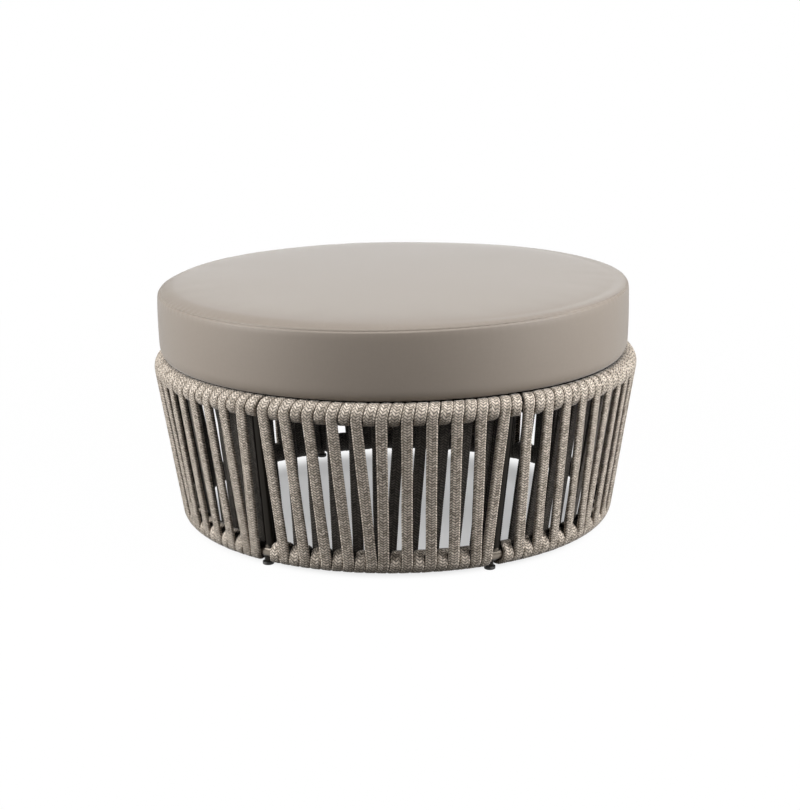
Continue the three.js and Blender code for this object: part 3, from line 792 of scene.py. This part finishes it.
WELD_RISE = 1.6 * MM
WELD_LENGTH = 3.2 * MM
WELD = [
    (TUBE_RADIUS - 2 * MM, WELD_RISE), (TUBE_RADIUS + 0.6 * MM, 0.9 * WELD_RISE),
    (TUBE_RADIUS + 0.6 * WELD_LENGTH, 0.5 * WELD_RISE), (TUBE_RADIUS + WELD_LENGTH, 0),
]
for join in range(PANELS):
    angle = FIRST_PANEL + join * PANEL
    foot = point(BOTTOM_RING_RADIUS, angle - PANEL_LEAN, BOTTOM_RING_HEIGHT)
    head = point(TOP_RING_RADIUS, angle - (TOP_GAP_ANGLE + TOP_PITCH) / 2, TOP_RING_HEIGHT)
    along = (head - foot).normalized()
    length = (head - foot).length
    steps = [(up, UPRIGHT_RADIUS + rise) for up, rise in WELD]
    steps += [(length / 3, UPRIGHT_RADIUS), (2 * length / 3, UPRIGHT_RADIUS)]
    steps += [(length - up, UPRIGHT_RADIUS + rise) for up, rise in reversed(WELD)]
    upright = turned_piece(f"upright_tube_{join + 1}", 32, steps, foot, along)
    dress_metal(upright, f"upright_{join + 1}")
    hanger = f"seat_hanger_{join + 1}"
    dress_metal(bevelled_copy(hanger, f"hanger_plate_{join + 1}", 0.5 * MM), hanger)

    glide_low, glide_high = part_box(f"foot_glide_{join + 1}")
    stub_low, stub_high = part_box(f"foot_stub_{join + 1}")
    middle = (glide_low + glide_high) / 2
    middle.z = 0
    wide = (glide_high.x - glide_low.x) / 2
    high = glide_high.z
    bore = (stub_high.x - stub_low.x) / 2 + 0.3 * MM
    glide = turned_piece(
        f"glide_{join + 1}", 40,
        [
            (0.0, wide - 2.4 * MM), (0.15 * MM, wide - 1.2 * MM), (0.6 * MM, wide - 0.4 * MM), (1.2 * MM, wide),
            (high - 1.0 * MM, wide), (high - 0.35 * MM, wide - 0.25 * MM), (high, wide - 0.9 * MM),
            (high, bore), (2.0 * MM, bore),
        ],
        middle,
    )
    dress(glide, glide_plastic, "frame", "glide_plastic", f"foot_glide_{join + 1}")
    stub = turned_piece(
        f"stub_{join + 1}", 32,
        [
            (stub_low.z, bore - 1.2 * MM), (stub_low.z + 0.4 * MM, bore - 0.35 * MM),
            (BOTTOM_RING_HEIGHT - TUBE_RADIUS - 1.5 * MM, bore - 0.35 * MM),
            (BOTTOM_RING_HEIGHT - TUBE_RADIUS + 1.0 * MM, bore + 0.9 * MM),
            (BOTTOM_RING_HEIGHT - TUBE_RADIUS / 2, bore + 1.0 * MM),
        ],
        middle,
    )
    dress_metal(stub, f"foot_stub_{join + 1}")

SLATS = sum(node.startswith("seat_slat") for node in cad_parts)
for slat in range(1, SLATS + 1):
    dress_metal(bevelled_copy(f"seat_slat_{slat}", f"slat_{slat}", 0.6 * MM), f"seat_slat_{slat}")
dress_metal(bevelled_copy("seat_rail", "rail", 0.4 * MM), "seat_rail")


# Cushion cover

COVER_COLUMNS = 600
CROWN_POWER = 14
CROWN_ROUNDING = 0.62
# Corners of two curves: how far inside the cover's radius, and how far below the seam or above the underside
SHOULDER = [(TOP_TUCK, 0), (1.1 * MM, 3 * MM), (0.5 * MM, 8 * MM), (0.5 * MM, 16 * MM)]
TUCK = [(1.0 * MM, 21 * MM), (1.2 * MM, 10 * MM), (5 * MM, 2 * MM), (BOTTOM_TUCK, 0.3 * MM)]
SIDE_BULGE = 0.5 * MM
STITCH_PITCH = 15 * MM
PUCKER = 0.28 * MM
SWELL = 0.6 * MM
SWELL_START = 140 * MM
TILT_ABOVE, TILT_BELOW = 26 * MM, 40 * MM
BACK = math.pi
ZIP_HEIGHT = (TAPE_LOW.z + TAPE_HIGH.z) / 2
ZIP_WIDTH = TAPE_HIGH.z - TAPE_LOW.z
ZIP_ARC = math.radians(80)
ZIP_DEPTH = 3.1 * MM + COVER_SPREAD


def bezier(corners_of, steps):
    """Points along a curve of four corners."""
    t = np.linspace(0, 1, steps)[:, None]
    a, b, c, d = (np.array(corner) for corner in corners_of)
    return a * (1 - t) ** 3 + 3 * b * t * (1 - t) ** 2 + 3 * c * t ** 2 * (1 - t) + d * t ** 3


def cover_outline():
    """The cover's section from the middle of its crown to the middle of its underside: its points
    (radius, height), how far along it each one is, and how far along the two seams are."""
    radius, seam, low = CUSHION_RADIUS + COVER_SPREAD, SEAM_HEIGHT + SEAM_LIFT, CUSHION_BOTTOM
    share = np.sin(np.linspace(0, math.pi / 2, 600))
    edge = CROWN_EDGE * (1 - share ** CROWN_POWER) ** CROWN_ROUNDING
    dome = (CROWN_TOP - CROWN_SAG - CROWN_EDGE - seam) * (1 - share ** 2)
    crown = np.stack([(radius - TOP_TUCK) * share, seam + dome + edge], axis=1)
    shoulder = bezier([(radius - inside, seam - below) for inside, below in SHOULDER], 80)
    down = np.linspace(0, 1, 120)
    bulge = SIDE_BULGE * (1 - (2 * down - 1) ** 2) - SIDE_BULGE * down ** 2
    (inset, start), rest = SHOULDER[-1], TUCK[0][1]
    side = np.stack([radius - inset + bulge, seam - start + (low - seam + start + rest) * down], axis=1)
    tuck = bezier([(radius - inside, low + above) for inside, above in TUCK], 80)
    share = np.linspace(1, 0, 300)
    under = np.stack([(radius - BOTTOM_TUCK) * share, low + TUCK[-1][1] * share ** 40], axis=1)
    line = np.concatenate([crown, shoulder[1:], side[1:], tuck[1:], under[1:]])
    along = np.concatenate([[0], np.cumsum(np.linalg.norm(np.diff(line, axis=0), axis=1))])
    return line, along, along[len(crown) - 1], along[-len(under)]


def seam_groove(distance):
    """How far cloth stands out beside a seam and sinks in along it."""
    x = distance / MM
    sunk = -1.0 * np.exp(-((x / 1.4) ** 2))
    rolled = 0.2 * np.exp(-(((np.abs(x) - 3) / 1.6) ** 2))
    return (sunk + rolled) * MM


def eased(value):
    """From 0 to 1 with soft ends."""
    value = np.clip(value, 0, 1)
    return value * value * (3 - 2 * value)


def cover_stops(line, along, top_seam, bottom_seam):
    """Where along the section the rows of the cover lie: closer at the seams and at the zip."""
    heights = line[:, 1]
    on_side = (along > top_seam) & (along < bottom_seam)
    zip_edges = [
        np.interp(-(ZIP_HEIGHT + end * ZIP_WIDTH / 2), -heights[on_side], along[on_side]) for end in (1, -1)
    ]
    stops = [
        np.linspace(0, top_seam - 100 * MM, 22), np.linspace(top_seam - 94 * MM, top_seam - 8 * MM, 30),
        np.linspace(top_seam + 8 * MM, bottom_seam - 8 * MM, 24),
        np.linspace(bottom_seam + 8 * MM, along[-1], 22),
    ]
    stops += [seam + np.linspace(-6.5, 6.5, 19) * MM for seam in (top_seam, bottom_seam)]
    stops += [edge + np.linspace(-0.9, 0.9, 5) * MM for edge in zip_edges]
    rows = np.sort(np.concatenate(stops))
    return rows[np.concatenate([[True], np.diff(rows) > 0.3 * MM])]


def waves_round(angles, *waves):
    """Waves round the cushion, each with its height, its count and its start."""
    return sum(high * np.sin(count * angles + start) for high, count, start in waves)


def cover_relief(rows, angles, heights, top_seam, bottom_seam):
    """How far each point of the cover stands out from its section."""
    waves = round(2 * math.pi * CUSHION_RADIUS / STITCH_PITCH)
    wander = waves_round(angles, (1.3, 3, 0.7), (0.9, 7, 2.1), (0.5, 13, 4.0))
    relief = np.zeros((len(rows), len(angles)))
    for seam, phase in ((top_seam, 0.0), (bottom_seam, 1.9)):
        away = rows - seam
        relief += seam_groove(away)[:, None]
        pucker = np.cos(waves * angles + wander + phase) * (0.75 + 0.25 * np.sin(5 * angles + phase))
        relief += PUCKER * np.exp(-((away / (9 * MM)) ** 2))[:, None] * pucker[None, :]
    swell = waves_round(angles, (0.45, 3, 1.1), (0.35, 5, 2.6), (0.3, 8, 0.4))
    swelling = eased(np.minimum((rows - SWELL_START) / 5, bottom_seam - rows) / (30 * MM))
    relief += SWELL * swelling[:, None] * swell[None, :]
    in_zip = eased((ZIP_WIDTH / 2 + 0.7 * MM - np.abs(heights - ZIP_HEIGHT)) / (0.7 * MM))
    from_back = np.abs((angles - BACK + math.pi) % (2 * math.pi) - math.pi)
    at_zip = eased((ZIP_ARC / 2 + 0.006 - from_back) / 0.004)
    on_side = (rows > top_seam) & (rows < bottom_seam)
    relief -= ZIP_DEPTH * (in_zip * on_side)[:, None] * at_zip[None, :]
    return relief


SIM_COLUMNS = 192
SIM_STEP = 12.5 * MM
SIM_FRAMES = 20
SLACK_SHARE = 0.003
MOVE_SHARE = 0.35
MOVE_LIMIT = 1.6 * MM
CLOTH = {
    "quality": 6, "mass": 0.25, "tension_stiffness": 30, "compression_stiffness": 30, "shear_stiffness": 12,
    "bending_stiffness": 8, "use_pressure": True, "uniform_pressure_force": 4, "shrink_min": -SLACK_SHARE,
}


def around(radii, heights, columns):
    """Points of a turned surface, row by row, and the faces between them, closed at both ends."""
    angles = np.arange(columns) * 2 * math.pi / columns
    places = np.stack([
        radii[:, None] * np.sin(angles), -radii[:, None] * np.cos(angles),
        np.repeat(heights[:, None], columns, 1),
    ], axis=2).reshape(-1, 3)
    _, _, a, b, c, d = grid_corners(len(radii), columns)
    last = (len(radii) - 1) * columns
    ends = [list(range(columns)), list(range(last + columns - 1, last - 1, -1))]
    return places, np.stack([a, d, c, b], 1).tolist() + ends


def filled_moves(line, along, top_seam, bottom_seam):
    """How the filled cover's cloth moves between its seams: the rows along its section, and for each row
    and each angle the move, with the mean of the row left out so that the outline stays."""
    def even(first, last):
        return np.linspace(first, last, round((last - first) / SIM_STEP) + 1)

    rows = np.concatenate([
        even(3 * SIM_STEP, top_seam), even(top_seam, bottom_seam)[1:],
        even(bottom_seam, along[-1] - 3 * SIM_STEP)[1:],
    ])
    places, faces = around(
        np.interp(rows, along, line[:, 0]), np.interp(rows, along, line[:, 1]), SIM_COLUMNS,
    )
    mesh = bpy.data.meshes.new("filled_cover")
    mesh.from_pydata(places.tolist(), [], faces)
    filled = bpy.data.objects.new("filled_cover", mesh)
    bpy.context.scene.collection.objects.link(filled)
    held = filled.vertex_groups.new(name="held")
    for row, stop in enumerate(rows):
        at_seam = min(abs(stop - top_seam), abs(stop - bottom_seam)) < 0.1 * MM
        if at_seam or stop > bottom_seam or row == 0:
            held.add(list(range(row * SIM_COLUMNS, (row + 1) * SIM_COLUMNS)), 1.0, "REPLACE")
    random = np.random.default_rng(5)
    places += random.normal(0, 0.15 * MM, places.shape)
    mesh.vertices.foreach_set("co", places.astype(np.float32).ravel())
    cloth = filled.modifiers.new("filling", "CLOTH")
    for key, value in CLOTH.items():
        setattr(cloth.settings, key, value)
    cloth.settings.vertex_group_mass = held.name
    cloth.settings.effector_weights.gravity = 0
    cloth.point_cache.frame_end = SIM_FRAMES
    for moment in range(1, SIM_FRAMES + 1):
        bpy.context.scene.frame_set(moment)
    done = filled.evaluated_get(bpy.context.evaluated_depsgraph_get())
    found = np.empty(len(places) * 3, dtype=np.float32)
    done.data.vertices.foreach_get("co", found)
    moves = (found.reshape(-1, 3) - places).reshape(len(rows), SIM_COLUMNS, 3)
    bpy.data.objects.remove(filled)
    bpy.context.scene.frame_set(1)
    angles = np.arange(SIM_COLUMNS) * 2 * math.pi / SIM_COLUMNS
    outwards = np.stack([np.sin(angles), -np.cos(angles)], axis=1)
    sideways = np.stack([np.cos(angles), np.sin(angles)], axis=1)
    turned = np.stack([
        np.sum(moves[:, :, :2] * outwards, axis=2), np.sum(moves[:, :, :2] * sideways, axis=2), moves[:, :, 2],
    ], axis=2)
    turned -= turned.mean(axis=1, keepdims=True)
    for _ in range(3):
        turned = (np.roll(turned, 1, axis=1) + 2 * turned + np.roll(turned, -1, axis=1)) / 4
        turned[1:-1] = (turned[:-2] + 2 * turned[1:-1] + turned[2:]) / 4
    turned *= MOVE_SHARE * eased(rows / top_seam * 2 - 1)[:, None, None]
    far = np.linalg.norm(turned, axis=2, keepdims=True)
    print(f"cloth moved {far.max() / MM:.2f} mm at most, {far.mean() / MM:.2f} mm on average")
    return rows, turned * np.minimum(1, MOVE_LIMIT / np.maximum(far, 1e-9))


def spread_moves(sim_rows, moves, rows, columns):
    """The simulated moves read at the rows and columns of the finer cover."""
    at = np.arange(columns) * SIM_COLUMNS / columns
    left = np.floor(at).astype(int) % SIM_COLUMNS
    part = eased(at - np.floor(at))[None, :, None]
    wide = moves[:, left] * (1 - part) + moves[:, (left + 1) % SIM_COLUMNS] * part
    return np.stack([
        [np.interp(rows, sim_rows, wide[:, column, k]) for column in range(columns)] for k in range(3)
    ]).transpose(2, 1, 0)


def cushion_cover():
    """The sewn cover, from the crown over both seams to the underside."""
    line, along, top_seam, bottom_seam = cover_outline()
    sim_rows, sim_moves = filled_moves(line, along, top_seam, bottom_seam)
    rows = cover_stops(line, along, top_seam, bottom_seam)
    radii = np.interp(rows, along, line[:, 0])
    heights = np.interp(rows, along, line[:, 1])
    angles = np.arange(COVER_COLUMNS) * 2 * math.pi / COVER_COLUMNS
    slope = np.stack([np.gradient(line[:, 0], along), np.gradient(line[:, 1], along)], axis=1)
    out = np.stack([-np.interp(rows, along, slope[:, 1]), np.interp(rows, along, slope[:, 0])], axis=1)
    out /= np.linalg.norm(out, axis=1)[:, None]
    relief = cover_relief(rows, angles, heights, top_seam, bottom_seam)
    moves = spread_moves(sim_rows, sim_moves, rows, COVER_COLUMNS)
    reach = radii[:, None] + relief * out[:, :1] + moves[:, :, 0]
    rise = heights[:, None] + relief * out[:, 1:] + moves[:, :, 2]
    tilted = eased(1 - np.abs(rows - top_seam) / np.where(rows < top_seam, TILT_ABOVE, TILT_BELOW))
    rise += COVER_TILT * tilted[:, None] * np.sin(angles)
    aside = moves[:, :, 1]
    grid = np.stack([
        CUSHION_MIDDLE_X + COVER_SHIFT + reach * np.sin(angles) + aside * np.cos(angles),
        -reach * np.cos(angles) + aside * np.sin(angles), rise,
    ], axis=2)
    places = grid[1:-1].reshape(-1, 3)
    tips = np.array([[CUSHION_MIDDLE_X, 0, heights[0]], [CUSHION_MIDDLE_X, 0, heights[-1]]])
    top_tip, low_tip = len(places), len(places) + 1
    count = len(rows) - 2

    row, _, a, b, c, d = grid_corners(count, COVER_COLUMNS)
    caps = end_caps(count, COVER_COLUMNS, top_tip, low_tip)
    triangles = np.concatenate([
        np.stack([a, d, c], 1), np.stack([a, c, b], 1), *(cap[:, ::-1] for cap in caps),
    ])
    places = np.concatenate([places, tips])
    ends = np.repeat([0, count - 1], COVER_COLUMNS)
    piece_rows = rows[1:-1][np.concatenate([row, row, ends])]
    on_side = (piece_rows >= top_seam - 0.1 * MM) & (piece_rows < bottom_seam - 0.1 * MM)
    flat = places[triangles][:, :, :2]
    turn = np.arctan2(places[triangles][:, :, 0] - CUSHION_MIDDLE_X, -places[triangles][:, :, 1]) % (2 * math.pi)
    at_join = (turn.max(1) - turn.min(1))[:, None] > math.pi
    turn = np.where(at_join & (turn < math.pi), turn + 2 * math.pi, turn)
    wrapped = np.stack([turn * CUSHION_RADIUS, places[triangles][:, :, 2]], axis=2)
    uv = np.where(on_side[:, None, None], wrapped, flat)
    return mesh_from_arrays("cushion_cover", places, triangles, "cloth", uv)


cover = cushion_cover()
dress(
    cover, cover_cloth, "cushion", "cushion_fabric",
    "cushion_top_panel", "cushion_side_band", "cushion_bottom_panel",
)

foam_low, foam_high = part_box("foam_core")
foam_radius = (foam_high.x - foam_low.x) / 2 - 2 * MM
# Millimetres above the foam's underside or above the seam, and inside its radius
FOAM_FOOT = [(0, 14), (1.5, 9), (5, 5), (14, 1), (30, 0)]
FOAM_SHOULDER = [(-24, 0), (-8, 3), (-1, 10), (3, 30)]
foam_steps = [(foam_low.z + up * MM, foam_radius - inside * MM) for up, inside in FOAM_FOOT]
foam_steps += [(SEAM_HEIGHT + up * MM, foam_radius - inside * MM) for up, inside in FOAM_SHOULDER]
foam_steps += [(SEAM_HEIGHT + 8 * MM, 0.8 * foam_radius), (SEAM_HEIGHT + 12 * MM, 0.5 * foam_radius)]
foam_block = turned_piece("foam_block", 160, foam_steps, (CUSHION_MIDDLE_X, 0, 0))
dress(foam_block, foam, "cushion", "foam", "foam_core")


# Zip

TOOTH_PITCH = 2.2 * MM
TOOTH_HEIGHT = 3.4 * MM
TOOTH_RADIUS = 0.72 * MM


def zip_teeth():
    """The row of moulded teeth along the tape, short upright bars with rounded ends."""
    sides = 8
    turn = np.arange(sides) * 2 * math.pi / sides
    rings = [(-0.5, 0.35), (-0.42, 0.85), (-0.3, 1.0), (0.3, 1.0), (0.42, 0.85), (0.5, 0.35)]
    circle = TOOTH_RADIUS * np.stack([np.cos(turn), np.sin(turn), 0 * turn], 1)
    tooth = np.concatenate([wide * circle + [0, 0, TOOTH_HEIGHT * high] for high, wide in rings])
    _, _, a, b, c, d = grid_corners(len(rings), sides)
    k, last = np.arange(1, sides - 1), (len(rings) - 1) * sides
    triangles = np.concatenate([
        np.stack([a, b, c], 1), np.stack([a, c, d], 1),
        np.stack([0 * k, k + 1, k], 1), last + np.stack([0 * k, k, k + 1], 1),
    ])
    radius = CUSHION_RADIUS + 0.15 * MM - TOOTH_RADIUS
    half = ZIP_ARC / 2 - 3 * MM / radius
    count = round(2 * half * radius / TOOTH_PITCH)
    places, faces = [], []
    for n, angle in enumerate(np.linspace(BACK - half, BACK + half, count)):
        spot = np.array(point(radius, angle, ZIP_HEIGHT)) + [CUSHION_MIDDLE_X, 0, 0]
        turned = np.array(Matrix.Rotation(angle, 3, "Z"))
        places.append(tooth @ turned.T + spot)
        faces.append(triangles + n * len(tooth))
    return mesh_from_arrays("zip_teeth", np.concatenate(places), np.concatenate(faces))


dress(zip_teeth(), tooth_plastic, "cushion", "zip_tape")
dress(bevelled_copy("zip_tape", "zip_tape_cloth", 0.3 * MM), zip_cloth, "cushion", "zip_tape", "zip_tape")
for node, name in (("zip_slider", "slider"), ("zip_pull_tab", "pull_tab")):
    dress(bevelled_copy(node, name, 0.35 * MM), slider_lacquer, node, "slider_metal", node)


# Floor, background and light

FLOOR_HALF = 40
FOOTPRINT = 0.365
SHADE_START = 0.29
FADE_END = 2.0


def floor_material():
    """Pale floor: white to the camera and to gloss, with the object's shadow kept, and grey to other light."""
    material, tree, shader = new_material("pale_floor")
    place = object_places(tree)
    shade = worn(tree, place, 3.0, 0.02)
    set_inputs(tree, shader, {"Base Color": shaded(tree, (0.05, 0.05, 0.05, 1), shade), "Roughness": 0.9})
    shadowed = put(tree, "ShaderNodeBsdfDiffuse", {"Color": (0.8, 0.8, 0.8, 1)})
    plain = put(tree, "ShaderNodeEmission", {"Color": (1, 1, 1, 1), "Strength": 1.0})
    away = reach_of(tree, place)
    near = ranged(tree, away, SHADE_START, FOOTPRINT, 0.40, 0.985, interpolation_type="SMOOTHSTEP")
    far = ranged(tree, away, FOOTPRINT, FADE_END, 0.0, 0.015, interpolation_type="SMOOTHSTEP")
    lit = put(tree, "ShaderNodeMixShader", {0: near + far, 1: shadowed.outputs[0], 2: plain.outputs[0]})
    rays = put(tree, "ShaderNodeLightPath").outputs
    clear = Value(tree, rays["Is Glossy Ray"]).math("MAXIMUM", rays["Is Transmission Ray"])
    shown = clear.math("MAXIMUM", rays["Is Camera Ray"])
    either = put(tree, "ShaderNodeMixShader", {0: shown, 1: shader.outputs[0], 2: lit.outputs[0]})
    set_inputs(tree, tree.nodes["Material Output"], {"Surface": either.outputs[0]})
    return material


bpy.ops.mesh.primitive_plane_add(size=2 * FLOOR_HALF, location=(0, 0, 0))
floor = bpy.context.active_object
floor.name = "floor"
floor.data.materials.append(floor_material())
bpy.ops.object.select_all(action="DESELECT")


def white_world(level, fill, gloss_ahead, gloss_behind):
    """A weak even fill light, white where the camera sees it, and for gloss darker ahead than behind."""
    world = bpy.data.worlds.new("studio")
    world.use_nodes = True
    bpy.context.scene.world = world
    tree = world.node_tree
    rays = put(tree, "ShaderNodeLightPath").outputs
    shown = Value(tree, rays["Is Camera Ray"]).math("MAXIMUM", rays["Is Transmission Ray"])
    _, behind, _ = split(tree, value_of(tree, "ShaderNodeTexCoord", output="Generated"))
    gloss = ranged(tree, behind, -0.6, 0.6, gloss_ahead, gloss_behind)
    plain = chosen(tree, rays["Is Glossy Ray"], level, gloss)
    unfilled = shown.math("MAXIMUM", rays["Is Glossy Ray"])
    set_inputs(tree, tree.nodes["Background"], {
        "Strength": chosen(tree, shown, plain, 1.0),
        "Color": mixed(tree, unfilled, fill, (1, 1, 1, 1)),
    })


def soft_light(name, place, target, size, power, colour=(1, 1, 1)):
    """A square soft light at a place, turned to a target."""
    data = bpy.data.lights.new(name, "AREA")
    data.shape = "SQUARE"
    data.size = size
    data.energy = power
    data.color = colour
    lamp = bpy.data.objects.new(name, data)
    lamp.location = place
    lamp.rotation_euler = (Vector(target) - Vector(place)).to_track_quat("-Z", "Y").to_euler()
    bpy.context.scene.collection.objects.link(lamp)


white_world(0.045, (1.0, 0.84, 0.66, 1), 0.05, 0.55)
soft_light("overhead", (0, -0.9, 2.3), (0, 0, 0.3), 1.8, 22, (0.98, 1.0, 1.03))
soft_light("left", (-2.1, -0.7, 1.3), (0, 0, 0.25), 1.5, 68)
soft_light("right", (2.1, -0.7, 1.3), (0, 0, 0.25), 1.5, 73)

scene = bpy.context.scene
scene.view_settings.view_transform = "Standard"
